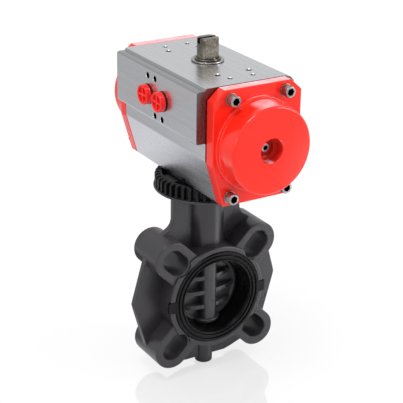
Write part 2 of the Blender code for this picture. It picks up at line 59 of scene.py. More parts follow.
# ---- bench work: laying out, turning, plates, joining and cutting -------------------------
def put_down():
    """Leave edit mode and select nothing."""
    if bpy.context.mode != 'OBJECT':
        bpy.ops.object.mode_set(mode='OBJECT')
    bpy.ops.object.select_all(action='DESELECT')


def pick_up(ob):
    """Select one piece alone and make it the active one."""
    put_down()
    ob.select_set(True)
    bpy.context.view_layer.objects.active = ob


def spot(axis, u, v, h):
    """Point with in-plane millimetres u, v and height h along an axis, in metres."""
    return Vector({'X': (h, u, v), 'Y': (u, h, v), 'Z': (u, v, h)}[axis]) * MM


def draw_out(step):
    """Extrude what is selected by a step in metres."""
    bpy.ops.mesh.extrude_region_move(TRANSFORM_OT_translate={'value': step})


def lay_out(name, points):
    """Start a mesh as one vertex and draw it on from point to point; stays in edit mode."""
    put_down()
    bpy.ops.mesh.primitive_plane_add(size=2 * MM)
    ob = bpy.context.active_object
    ob.name = name
    bpy.ops.object.mode_set(mode='EDIT')
    bpy.ops.mesh.select_mode(type='VERT')
    bpy.ops.mesh.select_all(action='SELECT')
    bpy.ops.mesh.merge(type='CENTER')
    bpy.ops.transform.translate(value=points[0])
    for here, there in zip(points, points[1:]):
        draw_out(there - here)
    return ob


def close_up():
    """Weld seams and poles and turn every face outwards."""
    bpy.ops.mesh.select_all(action='SELECT')
    bpy.ops.mesh.remove_doubles(threshold=WELD)
    bpy.ops.mesh.normals_make_consistent(inside=False)


def pick(kind, test):
    """Select the vertices, edges or faces whose corners all pass a test, given in millimetres."""
    bpy.ops.mesh.select_mode(type=kind)
    bpy.ops.mesh.select_all(action='DESELECT')
    mesh = bpy.context.edit_object.data
    bm = bmesh.from_edit_mesh(mesh)
    for thing in {'VERT': bm.verts, 'EDGE': bm.edges, 'FACE': bm.faces}[kind]:
        corners = [thing.co] if kind == 'VERT' else [v.co for v in thing.verts]
        if all(test(c / MM) for c in corners):
            thing.select_set(True)
    bmesh.update_edit_mesh(mesh)


def round_rim(axis, height, radius, steps):
    """Round the rim of the flat end at one height."""
    i = 'XYZ'.index(axis)
    pick('EDGE', lambda c: abs(c[i] - height) < NEAR)
    bpy.ops.mesh.bevel(offset=radius * MM, segments=steps, profile=0.5, affect='EDGES')


def turned(name, profile, axis='Y', centre=(0.0, 0.0), steps=96, ring=False):
    """Turn a profile of (radius, height) round an axis; a ring's profile closes on itself."""
    base = spot(axis, *centre, 0.0)
    points = [spot(axis, centre[0] + r, centre[1], h) for r, h in profile]
    ob = lay_out(name, points + points[:1] if ring else points)
    bpy.ops.mesh.select_all(action='SELECT')
    bpy.ops.mesh.spin(steps=steps, angle=2 * math.pi, center=base, axis=ALONG[axis])
    close_up()
    put_down()
    return ob


def plate(name, outline, axis, low, high, low_rim=0.0, high_rim=0.0, steps=3):
    """Fill an outline and extrude it along an axis, with rounded rims."""
    points = [spot(axis, u, v, low) for u, v in outline]
    ob = lay_out(name, points + points[:1])
    bpy.ops.mesh.select_all(action='SELECT')
    bpy.ops.mesh.remove_doubles(threshold=WELD)
    bpy.ops.mesh.edge_face_add()
    draw_out(ALONG[axis] * (high - low) * MM)
    close_up()
    for height, radius in ((low, low_rim), (high, high_rim)):
        if radius:
            round_rim(axis, height, radius, steps)
    put_down()
    return ob


def block(name, x, y, z):
    """Square cutter between two values on each axis."""
    corners = [(x[0], y[0]), (x[1], y[0]), (x[1], y[1]), (x[0], y[1])]
    return plate(name, corners, 'Z', z[0], z[1])


def combine(ob, tool, operation):
    """Boolean a tool into a piece and throw the tool away."""
    pick_up(ob)
    bpy.ops.object.modifier_add(type='BOOLEAN')
    step = ob.modifiers[-1]
    step.operation = operation
    step.solver = 'EXACT'
    step.object = tool
    bpy.ops.object.modifier_apply(modifier=step.name)
    bpy.data.objects.remove(tool)


def join(ob, *tools):
    for tool in tools:
        combine(ob, tool, 'UNION')


def cut(ob, *tools):
    for tool in tools:
        combine(ob, tool, 'DIFFERENCE')


def turn_piece(ob, axis, degrees):
    pick_up(ob)
    ob.rotation_euler = ALONG[axis] * math.radians(degrees)
    bpy.ops.object.transform_apply(location=True, rotation=True, scale=True)


def copy_of(ob):
    pick_up(ob)
    bpy.ops.object.duplicate(linked=False)
    return bpy.context.active_object


def fit(ob, name, finish, body, nodes, move=(0.0, 0.0, 0.0), turn=(0.0, 0.0, 0.0), angle=33.0):
    """Put a finished piece in its place, smooth it, and give it its finish and its body."""
    pick_up(ob)
    ob.rotation_euler = [math.radians(a) for a in turn]
    ob.location = (Vector(move) + Vector((0, 0, BORE_HEIGHT))) * MM
    bpy.ops.object.transform_apply(location=True, rotation=True, scale=True)
    bpy.ops.object.mode_set(mode='EDIT')
    bpy.ops.mesh.select_all(action='SELECT')
    bpy.ops.mesh.remove_doubles(threshold=2 * WELD)
    bpy.ops.mesh.dissolve_degenerate(threshold=2 * WELD)
    bpy.ops.object.mode_set(mode='OBJECT')
    bpy.ops.object.shade_smooth_by_angle(angle=math.radians(angle))
    bpy.ops.object.modifier_add(type='WEIGHTED_NORMAL')
    even = ob.modifiers[-1]
    even.keep_sharp = True
    even.weight = 100                    # the widest face at a corner decides its shading
    bpy.ops.object.modifier_apply(modifier=even.name)
    ob.name = name
    ob.data.name = name
    ob.data.materials.clear()
    ob.data.materials.append(FINISHES[finish])
    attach(ob, body)
    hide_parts(*nodes)


def paint_shade(ob, test, share=1.0):
    """Mark faces for painted shade, such as the bottoms of holes and sockets; the test gets
    millimetres.
    """
    put_down()
    marks = ob.data.attributes.get('deep') or ob.data.attributes.new('deep', 'FLOAT', 'FACE')
    for face in ob.data.polygons:
        if test(face.center / MM):
            marks.data[face.index].value = share


def arc(cu, cv, r, start, stop, n):
    """Points on a circle, angles in degrees."""
    return [(cu + r * math.cos(math.radians(start + (stop - start) * k / n)),
             cv + r * math.sin(math.radians(start + (stop - start) * k / n)))
            for k in range(n + 1)]


def rounded(corners, n=4, closed=True):
    """Round the corners of an outline or a ring's profile; each corner is (u, v, radius)."""
    out = []
    for i, (u, v, r) in enumerate(corners):
        p = Vector((u, v))
        if r <= 0 or (not closed and i in (0, len(corners) - 1)):
            out.append((u, v))
            continue
        a = (Vector(corners[i - 1][:2]) - p).normalized()
        b = (Vector(corners[(i + 1) % len(corners)][:2]) - p).normalized()
        half = a.angle(b) / 2
        middle = p + (a + b).normalized() * (r / math.sin(half))
        first = p + a * (r / math.tan(half)) - middle
        last = p + b * (r / math.tan(half)) - middle
        start = math.atan2(first.y, first.x)
        swing = (math.atan2(last.y, last.x) - start + math.pi) % (2 * math.pi) - math.pi
        out += [(middle.x + r * math.cos(start + swing * k / n),
                 middle.y + r * math.sin(start + swing * k / n)) for k in range(n + 1)]
    return out


def half_section(corners, n=4):
    """Round the corners of a profile that starts and ends on the axis."""
    return rounded(corners, n, closed=False)


def both_sides(half):
    """Close an outline drawn for u >= 0, bottom to top, by its mirror image."""
    return half + [(-u, v) for u, v in reversed(half) if u > 1e-6]


def drill(r, axis, u, v, low, high, mouth_low=0.0, mouth_high=0.0, steps=32):
    """A drill whose mouth flares where it leaves the piece, so the edge comes out broken."""
    past = 3.0                           # how far it runs beyond both ends
    profile = [(0.0, low - past)]
    if mouth_low:
        profile += [(r + mouth_low + past, low - past), (r, low + mouth_low)]
    else:
        profile += [(r, low - past)]
    if mouth_high:
        profile += [(r, high - mouth_high), (r + mouth_high + past, high + past)]
    else:
        profile += [(r, high + past)]
    profile += [(0.0, high + past)]
    return turned('drill', profile, axis, (u, v), steps)


# ---- finishes ------------------------------------------------------------------------------
PAINTED_SHADE = (0.012, 0.011, 0.010)            # colour of the painted shade at the bottoms of holes and sockets and on other marked faces


def add_node(tree, kind, **settings):
    made = tree.nodes.new(kind)
    for key, value in settings.items():
        setattr(made, key, value)
    return made


def new_group(name, inputs, outputs):
    tree = bpy.data.node_groups.new(name, 'ShaderNodeTree')
    for label, kind, value in inputs:
        socket = tree.interface.new_socket(name=label, in_out='INPUT', socket_type=kind)
        socket.default_value = value
    for label, kind in outputs:
        tree.interface.new_socket(name=label, in_out='OUTPUT', socket_type=kind)
    return tree, add_node(tree, 'NodeGroupInput'), add_node(tree, 'NodeGroupOutput')


def add_noise(tree, detail, roughness=0.5):
    noise = add_node(tree, 'ShaderNodeTexNoise')
    noise.inputs['Detail'].default_value = detail
    noise.inputs['Roughness'].default_value = roughness
    return noise


def widened(tree, mask, low, high, curve='LINEAR'):
    """Spread what lies between low and high over 0 to 1."""
    spread = add_node(tree, 'ShaderNodeMapRange', interpolation_type=curve)
    spread.inputs['From Min'].default_value = low
    spread.inputs['From Max'].default_value = high
    tree.links.new(mask, spread.inputs['Value'])
    return spread.outputs['Result']


def between(tree, mask, low, high):
    """Turn a mask of 0 to 1 into a value from low to high."""
    spread = add_node(tree, 'ShaderNodeMapRange')
    spread.inputs['To Min'].default_value = low
    spread.inputs['To Max'].default_value = high
    tree.links.new(mask, spread.inputs['Value'])
    return spread.outputs['Result']


def colour_mix(tree, mask, low, high):
    """Mix two colours by a mask; either colour may be a socket."""
    mix = add_node(tree, 'ShaderNodeMix', data_type='RGBA')
    tree.links.new(mask, mix.inputs['Factor'])
    for colour, label in ((low, 'A'), (high, 'B')):
        socket = [s for s in mix.inputs if s.name == label and s.type == 'RGBA'][0]
        if isinstance(colour, tuple):
            socket.default_value = (*colour, 1.0)
        else:
            tree.links.new(colour, socket)
    return [s for s in mix.outputs if s.type == 'RGBA'][0]


def moulded_grain_group():
    """Fine spark-eroded grain, and a slow cloudiness of the colour."""
    tree, given, out = new_group(
        'moulded_grain',
        [('Grain', 'NodeSocketFloat', 1400.0), ('Cloud', 'NodeSocketFloat', 26.0)],
        [('Height', 'NodeSocketFloat'), ('Tone', 'NodeSocketFloat')])
    place = add_node(tree, 'ShaderNodeTexCoord')
    fine = add_noise(tree, 3.0, 0.6)
    slow = add_noise(tree, 4.0)
    for noise, label in ((fine, 'Grain'), (slow, 'Cloud')):
        tree.links.new(place.outputs['Object'], noise.inputs['Vector'])
        tree.links.new(given.outputs[label], noise.inputs['Scale'])
    tree.links.new(fine.outputs['Fac'], out.inputs['Height'])
    tree.links.new(widened(tree, slow.outputs['Fac'], 0.32, 0.68), out.inputs['Tone'])
    return tree


def drawn_lines_group():
    """Long fine lines left by a die or a cutter; Stretch shortens the pattern along the lines."""
    tree, given, out = new_group(
        'drawn_lines',
        [('Stretch', 'NodeSocketVector', (1.0, 0.004, 1.0)), ('Lines', 'NodeSocketFloat', 1500.0)],
        [('Height', 'NodeSocketFloat'), ('Streak', 'NodeSocketFloat')])
    place = add_node(tree, 'ShaderNodeTexCoord')
    scale = add_node(tree, 'ShaderNodeVectorMath', operation='MULTIPLY')
    tree.links.new(place.outputs['Object'], scale.inputs[0])
    tree.links.new(given.outputs['Stretch'], scale.inputs[1])
    fine = add_noise(tree, 3.0)
    wide = add_noise(tree, 2.0)
    less = add_node(tree, 'ShaderNodeMath', operation='MULTIPLY')
    less.inputs[1].default_value = 0.17                # a streak is about six lines wide
    for noise in (fine, wide):
        tree.links.new(scale.outputs['Vector'], noise.inputs['Vector'])
    tree.links.new(given.outputs['Lines'], fine.inputs['Scale'])
    tree.links.new(given.outputs['Lines'], less.inputs[0])
    tree.links.new(less.outputs['Value'], wide.inputs['Scale'])
    tree.links.new(fine.outputs['Fac'], out.inputs['Height'])
    tree.links.new(widened(tree, wide.outputs['Fac'], 0.3, 0.7), out.inputs['Streak'])
    return tree


def dust_and_sheen_group():
    """Patchy mask of faces that look up more than Steepest; on the plastics it is settled dirt, on
    the red caps a painted sheen.
    """
    tree, given, out = new_group(
        'dust_and_sheen',
        [('Amount', 'NodeSocketFloat', 0.1), ('Steepest', 'NodeSocketFloat', 0.35)],
        [('Mask', 'NodeSocketFloat')])
    faces = add_node(tree, 'ShaderNodeNewGeometry')
    split = add_node(tree, 'ShaderNodeSeparateXYZ')
    tree.links.new(faces.outputs['Normal'], split.inputs['Vector'])
    upward = add_node(tree, 'ShaderNodeMapRange', interpolation_type='SMOOTHSTEP')
    upward.inputs['From Max'].default_value = 1.0
    tree.links.new(given.outputs['Steepest'], upward.inputs['From Min'])
    tree.links.new(split.outputs['Z'], upward.inputs['Value'])
    place = add_node(tree, 'ShaderNodeTexCoord')
    patches = add_noise(tree, 6.0)
    patches.inputs['Scale'].default_value = 120.0
    tree.links.new(place.outputs['Object'], patches.inputs['Vector'])
    thin = add_node(tree, 'ShaderNodeMath', operation='MULTIPLY')
    tree.links.new(upward.outputs['Result'], thin.inputs[0])
    tree.links.new(patches.outputs['Fac'], thin.inputs[1])
    amount = add_node(tree, 'ShaderNodeMath', operation='MULTIPLY', use_clamp=True)
    tree.links.new(thin.outputs['Value'], amount.inputs[0])
    tree.links.new(given.outputs['Amount'], amount.inputs[1])
    tree.links.new(amount.outputs['Value'], out.inputs['Mask'])
    return tree


GRAIN = moulded_grain_group()
LINES = drawn_lines_group()
DUST_AND_SHEEN = dust_and_sheen_group()


def new_finish(name, pattern, values, dark, light, rough, bump, depth, metal=0.0,
               dust_and_sheen_amount=0.0, dust_and_sheen_colour=None, steepest=0.35, shine=0.5, coat=0.0, coat_rough=0.05):
    """A finish from one shared pattern: two tones of colour, a range of roughness and a bump."""
    mat = bpy.data.materials.new(name)
    mat.use_nodes = True
    tree = mat.node_tree
    shader = tree.nodes['Principled BSDF']
    texture = add_node(tree, 'ShaderNodeGroup', node_tree=pattern)
    for label, value in values.items():
        texture.inputs[label].default_value = value
    height, tone = texture.outputs[0], texture.outputs[1]
    colour = colour_mix(tree, tone, dark, light)
    # painted shade: faces marked 'deep' are mixed towards the shade colour
    if metal or coat:
        deep = add_node(tree, 'ShaderNodeAttribute', attribute_name='deep')
        colour = colour_mix(tree, deep.outputs['Fac'], colour, PAINTED_SHADE)
    # settled dirt on the plastics; on the red caps a painted sheen on upward faces
    if dust_and_sheen_amount:
        dust_and_sheen_node = add_node(tree, 'ShaderNodeGroup', node_tree=DUST_AND_SHEEN)
        dust_and_sheen_node.inputs['Amount'].default_value = dust_and_sheen_amount
        dust_and_sheen_node.inputs['Steepest'].default_value = steepest
        colour = colour_mix(tree, dust_and_sheen_node.outputs['Mask'], colour, dust_and_sheen_colour)
    tree.links.new(colour, shader.inputs['Base Color'])
    tree.links.new(between(tree, tone, *rough), shader.inputs['Roughness'])
    raise_up = add_node(tree, 'ShaderNodeBump')
    raise_up.inputs['Strength'].default_value = bump
    raise_up.inputs['Distance'].default_value = depth
    tree.links.new(height, raise_up.inputs['Height'])
    tree.links.new(raise_up.outputs['Normal'], shader.inputs['Normal'])
    shader.inputs['Metallic'].default_value = metal
    shader.inputs['Specular IOR Level'].default_value = shine
    shader.inputs['Coat Weight'].default_value = coat
    shader.inputs['Coat Roughness'].default_value = coat_rough
    return mat


RECIPES = {
    'valve_plastic': dict(
        pattern=GRAIN, values={'Grain': 1300.0, 'Cloud': 30.0},
        dark=(0.018, 0.0160, 0.0198), light=(0.027, 0.0245, 0.0292),
        rough=(0.25, 0.35), bump=0.10, depth=0.00010, dust_and_sheen_amount=0.06, dust_and_sheen_colour=(0.17, 0.165, 0.19)),
    'liner_rubber': dict(
        pattern=GRAIN, values={'Grain': 1700.0, 'Cloud': 45.0},
        dark=(0.0018, 0.0019, 0.0020), light=(0.0034, 0.0036, 0.0037),
        rough=(0.26, 0.31), bump=0.05, depth=0.00006, dust_and_sheen_amount=0.01, dust_and_sheen_colour=(0.05, 0.05, 0.05),
        shine=0.17),
    'disc_plastic': dict(
        pattern=GRAIN, values={'Grain': 1500.0, 'Cloud': 50.0},
        dark=(0.022, 0.021, 0.0235), light=(0.032, 0.030, 0.033),
        rough=(0.24, 0.34), bump=0.12, depth=0.00010),
    'dial_plastic': dict(
        pattern=GRAIN, values={'Grain': 1800.0, 'Cloud': 50.0},
        dark=(0.0035, 0.0033, 0.004), light=(0.0065, 0.0062, 0.007),
        rough=(0.30, 0.42), bump=0.14, depth=0.00010, dust_and_sheen_amount=0.02, dust_and_sheen_colour=(0.09, 0.09, 0.10),
        shine=0.19),
    'stainless': dict(
        pattern=GRAIN, values={'Grain': 1600.0, 'Cloud': 120.0},
        dark=(0.30, 0.295, 0.285), light=(0.42, 0.41, 0.40),
        rough=(0.22, 0.34), bump=0.06, depth=0.00004, metal=1.0),
    'nickel': dict(
        pattern=GRAIN, values={'Grain': 1100.0, 'Cloud': 160.0},
        dark=(0.12, 0.106, 0.088), light=(0.26, 0.235, 0.20),
        rough=(0.20, 0.34), bump=0.10, depth=0.00004, metal=1.0),
    'seal_rubber': dict(
        pattern=GRAIN, values={'Grain': 2200.0, 'Cloud': 80.0},
        dark=(0.005, 0.005, 0.005), light=(0.009, 0.009, 0.009),
        rough=(0.48, 0.62), bump=0.12, depth=0.00008, shine=0.2),
    'bush_plastic': dict(
        pattern=LINES, values={'Stretch': (0.08, 0.08, 1.0), 'Lines': 1800.0},
        dark=(0.62, 0.61, 0.56), light=(0.74, 0.73, 0.68),
        rough=(0.44, 0.55), bump=0.08, depth=0.00006),
    'body_anodised': dict(
        pattern=LINES, values={'Stretch': (1.0, 0.003, 1.0), 'Lines': 1500.0},
        dark=(0.56, 0.565, 0.585), light=(0.62, 0.625, 0.655),
        rough=(0.24, 0.32), bump=0.05, depth=0.00002, metal=1.0),
    'cap_red': dict(
        pattern=GRAIN, values={'Grain': 420.0, 'Cloud': 22.0},
        dark=(0.90, 0.0170, 0.0060), light=(0.94, 0.0195, 0.0075),
        # painted sheen: upward faces of the caps are mixed towards pale pink
        rough=(0.30, 0.36), bump=0.04, depth=0.00010, dust_and_sheen_amount=0.95, dust_and_sheen_colour=(0.95, 0.80, 0.86),
        steepest=0.94, shine=0.06, coat=0.85, coat_rough=0.10),
    'plug_red': dict(
        pattern=GRAIN, values={'Grain': 900.0, 'Cloud': 60.0},
        dark=(0.84, 0.009, 0.007), light=(0.90, 0.012, 0.009),
        rough=(0.26, 0.36), bump=0.06, depth=0.00008, shine=0.45),
    'piston_aluminium': dict(
        pattern=LINES, values={'Stretch': (1.0, 0.02, 1.0), 'Lines': 1600.0},
        dark=(0.50, 0.51, 0.53), light=(0.62, 0.63, 0.65),
        rough=(0.32, 0.46), bump=0.14, depth=0.00006, metal=1.0),
}
FINISHES = {name: new_finish(name, **recipe) for name, recipe in RECIPES.items()}


# ---- the valve -----------------------------------------------------------------------------
LUG_TURNS = (45.0, 135.0, 225.0, 315.0)
LUG_DEPTH = 20.5                         # half the lug's width between the pipe flanges
FLANGE_TOP = 101.5
MOUNTING_HOLES = [(25.0 * math.cos(math.radians(a)), 25.0 * math.sin(math.radians(a)))
                  for a in LUG_TURNS]
DIAL_NOTCHES = 44
DIAL_RIM = 110.6                         # where the index disc's side begins to lean in
PAD_TOP = 113.4                          # top of the index disc's middle


def flange_lug():
    """Lug to the +X side; turned afterwards."""
    outline = [(40.0, -17.0)] + arc(62.5, 0.0, 17.0, -90.0, 90.0, 32) + [(40.0, 17.0)]
    return plate('lug', outline, 'Y', -LUG_DEPTH, LUG_DEPTH, 1.3, 1.3, 4)


def bolt_slot():
    """Cutter for a slot, with flared mouths at the two faces of the lug."""
    straight, flare = 19.6, 0.9          # half the parallel length, depth of each mouth
    outline = arc(62.0, 0.0, 9.5, -90.0, 90.0, 23) + arc(54.0, 0.0, 9.5, 90.0, 270.0, 23)
    ob = plate('slot', outline, 'Y', -straight, straight)
    pick_up(ob)
    bpy.ops.object.mode_set(mode='EDIT')
    for side in (-1, 1):
        pick('FACE', lambda c: abs(c[1] - side * straight) < NEAR)
        draw_out((0, side * flare * MM, 0))
        bpy.ops.transform.resize(value=(14.3 / 13.5, 1, 10.3 / 9.5),
                                 center_override=(58.0 * MM, 0, 0))
        draw_out((0, side * 8.0 * MM, 0))
    close_up()
    put_down()
    return ob


def make_valve_body():
    """Barrel, web, four slotted lugs, column, top flange and foot, with seats for the liner."""
    rim = half_section([(0, -23, 0), (48, -23, 1.3), (48, 23, 1.3), (0, 23, 0)])
    body = turned('barrel', rim, 'Y', steps=128)
    half = [(0.0, -68.4, 0), (21.0, -68.4, 4), (28.5, -66.2, 4), (44.0, -60.5, 6),
            (60.0, -47.0, 8), (63.0, -38.0, 6), (72.6, -4.0, 2), (73.5, 0.0, 2), (72.6, 4.0, 2),
            (63.0, 38.0, 6), (58.0, 50.0, 6), (46.0, 60.6, 5), (41.5, 64.0, 3), (37.5, 66.6, 3),
            (35.0, 69.6, 3), (34.0, 73.5, 3), (34.0, 99.8, 0)]
    join(body, plate('web', both_sides(half_section(half)), 'Y', -3.0, 3.0, 0.7, 0.7))
    for a in LUG_TURNS:
        lug = flange_lug()
        turn_piece(lug, 'Y', -a)
        join(body, lug)
    column = half_section([(0, 40, 0), (16.3, 40, 0), (16.3, 96.2, 1.6), (20, 96.2, 0),
                           (20, 99.9, 0), (0, 99.9, 0)], 5)
    join(body, turned('column', column, 'Z', steps=72))
    top = half_section([(0, 96.2, 0), (35, 96.2, 0.6), (36, 97, 0.4), (36, 99.4, 0.5),
                        (46, 99.4, 0.8), (46, FLANGE_TOP, 0.7), (0, FLANGE_TOP, 0)], 3)
    join(body, turned('flange', top, 'Z', steps=128))
    foot = half_section([(0, -44, 0), (8, -44, 0), (8, -BORE_HEIGHT, 1.1), (0, -BORE_HEIGHT, 0)])
    join(body, turned('foot', foot, 'Z', steps=48))
    for a in LUG_TURNS:
        slot = bolt_slot()
        turn_piece(slot, 'Y', -a)
        cut(body, slot)
    cut(body, drill(38.5, 'Y', 0.0, 0.0, -27.0, 27.0, steps=112))
    for side in (-1, 1):
        seat = [(0.0, side * 20.0), (43.4, side * 20.0), (43.4, side * 22.5),
                (47.9, side * 27.0), (0.0, side * 27.0)]
        cut(body, turned('seat', seat, 'Y', steps=120))
        for x in ((-52.0, -41.0), (41.0, 52.0)):
            cut(body, block('notch', x, sorted((side * 20.0, side * 26.0)), (-5.5, 5.5)))
    for u, v in MOUNTING_HOLES:
        cut(body, drill(SCREW_HOLE, 'Z', u, v, 93.0, FLANGE_TOP, 0.0, 0.4, 24),
            drill(6.2, 'Z', u, v, 86.0, 96.0, steps=24))
    cut(body, drill(10.8, 'Z', 0.0, 0.0, 33.0, FLANGE_TOP, 0.0, 0.6, 48),
        drill(5.4, 'Z', 0.0, 0.0, -62.0, -33.0, steps=32))
    fit(body, 'valve_casting', 'valve_plastic', 'housing', ['valve_body'])


def make_liner():
    """Moulded sleeve with two sealing beads on each lip and a flat tab at either side."""
    end = [(33.5, 20.8, 1.2), (34.7, 23.5, 0.7), (35.6, 23.6, 0.45), (36.1, 22.1, 0.25),
           (36.9, 22.1, 0.25), (37.4, 23.6, 0.5), (39.3, 23.6, 0.5), (39.8, 22.1, 0.25),
           (40.6, 22.1, 0.25), (41.1, 23.6, 0.5), (42.6, 23.6, 0.7), (43.1, 22.6, 0.4),
           (43.1, 20.4, 0.3), (38.0, 20.4, 0.5)]
    corners = end + [(r, -y, f) for r, y, f in reversed(end)]
    liner = turned('liner', rounded(corners, 3), 'Y', steps=128, ring=True)
    for side in (-1, 1):
        for low, high in ((-49.8, -41.6), (41.6, 49.8)):
            y = sorted((side * 20.5, side * 23.3))
            outline = rounded([(low, -5.1, 0.6), (high, -5.1, 0.6),
                               (high, 5.1, 0.6), (low, 5.1, 0.6)], 3)
            join(liner, plate('tab', outline, 'Y', y[0], y[1], 0.35, 0.35, 2))
    cut(liner, drill(8.3, 'Z', 0.0, 0.0, 28.0, 42.0, steps=40),
        drill(5.3, 'Z', 0.0, 0.0, -42.0, -28.0, steps=32))
    fit(liner, 'liner_sleeve', 'liner_rubber', 'housing', ['liner'], angle=40.0)


def make_disc():
    """Disc with a round-cornered hub, three ribs on each face and a collar at each hub end."""
    edge = half_section([(0, -2.2, 0), (28.0, -2.2, 0.6), (28.9, -3.5, 0.5), (31.0, -3.5, 0.8),
                         (33.1, -1.8, 1.6), (33.1, 1.8, 1.6), (31.0, 3.5, 0.8),
                         (28.9, 3.5, 0.5), (28.0, 2.2, 0.6), (0, 2.2, 0)], 3)
    disc = turned('disc', edge, 'Y', steps=112)
    hub = rounded([(-7.6, -12, 5.2), (7.6, -12, 5.2), (7.6, 12, 5.2), (-7.6, 12, 5.2)], 8)
    join(disc, plate('hub', hub, 'Z', -29.5, 29.5))
    thick = 2.1                          # half a rib's thickness
    for z in (14.3, 0.2, -14.0):
        end = math.sqrt(30.0 ** 2 - (abs(z) + thick) ** 2)
        half = [(0.0, -10.6, 0), (0.34 * end, -10.3, 3), (0.56 * end, -8.9, 5),
                (0.75 * end, -6.8, 5), (end, -2.9, 0)]
        quarter = half_section(half, 3)
        outline = quarter + [(u, -v) for u, v in reversed(quarter)]
        outline += [(-u, v) for u, v in reversed(outline) if u > 1e-6]
        join(disc, plate('rib', outline, 'Z', z - thick, z + thick, 0.55, 0.55, 2))
    collar = half_section([(0, 26.4, 0), (12.3, 26.4, 0.2), (13.7, 26.9, 0.8), (13.7, 28.7, 0.8),
                           (12.7, 29.1, 0.2), (12.7, 30.3, 0.5), (10.2, 31.4, 0.6), (0, 32.4, 0)])
    join(disc, turned('collar', collar, 'Z', steps=56),
         turned('collar', [(r, -z) for r, z in collar], 'Z', steps=56))
    cut(disc, block('drive', SQUARE, SQUARE, (-36.0, 36.0)))
    for x, z in ((-0.7, 12.4), (1.3, -9.0)):           # marks left by the ejector pins
        mark = [(0.0, -14.0), (1.25, -14.0), (1.25, -11.7), (0.0, -11.7)]
        cut(disc, turned('pin_mark', mark, 'Y', (x, z), 20))
    fit(disc, 'ribbed_disc', 'disc_plastic', 'rotor', ['disc'], angle=36.0)


def make_index_disc():
    """Notched disc that carries the actuator."""
    notch = ((41.2, -0.58), (43.6, -0.46), (44.9, -0.36), (44.9, 0.36), (43.6, 0.46), (41.2, 0.58))
    outline = []
    for k in range(DIAL_NOTCHES):
        for r, off in notch:
            a = (2 * k + off) * math.pi / DIAL_NOTCHES
            outline.append((r * math.cos(a), r * math.sin(a)))
    dial = plate('dial', outline, 'Z', 101.8, DIAL_RIM)
    pick_up(dial)
    bpy.ops.object.mode_set(mode='EDIT')
    pick('FACE', lambda c: abs(c[2] - DIAL_RIM) < NEAR)
    for rise, share in ((0.9, 0.988), (0.9, 0.974)):
        draw_out((0, 0, rise * MM))
        bpy.ops.transform.resize(value=(share, share, 1), center_override=(0, 0, 112 * MM))
    put_down()
    pad = half_section([(0, 109, 0), (30.4, 109, 0), (30.4, PAD_TOP, 0.4), (0, PAD_TOP, 0)], 3)
    join(dial, turned('pad', pad, 'Z', steps=72))
    cut(dial, drill(12.4, 'Z', 0.0, 0.0, 98.0, PAD_TOP, 0.0, 0.4, 56))
    for (u, v), a in zip(MOUNTING_HOLES, LUG_TURNS):
        cut(dial, drill(SCREW_HOLE, 'Z', u, v, 98.0, PAD_TOP, 0.0, 0.3, 24))
        pocket = (arc(0.0, 0.0, 38.6, a - 31.5, a + 31.5, 20)
                  + arc(0.0, 0.0, 33.6, a + 31.5, a - 31.5, 20))
        cut(dial, plate('pocket', pocket, 'Z', 108.4, 120.0, 0.8, 0.0, 2))
    fit(dial, 'index_ring', 'dial_plastic', 'housing', ['index_disc'], angle=30.0)


# ---- the actuator --------------------------------------------------------------------------
BODY_END = 67.3                          # half the drawn body's length
BODY_BOTTOM, BODY_TOP = 113.7, 212.6
PAD_FACE = -50.9                         # face of the pad that the air ports are in
PORT_Z = 187.5
PORT_YS = (-12.0, 12.0)
SIDE_HOLES = ((12.0, 203.5), (0.0, 203.5), (0.0, 171.5), (-12.0, 171.5))      # along, height
TOP_HOLES = ((15.0, 40.0, 2.5, 8.0), (11.0, 52.7, 2.2, 6.0))  # across, along, radius, depth
CAP_SCREW_X, CAP_SCREW_RISE = 25.85, 41.3
CAP_SCREW_MIDDLE = CYLINDER_Z - 0.2
PINION_TEETH = 17
KNURLS = 36


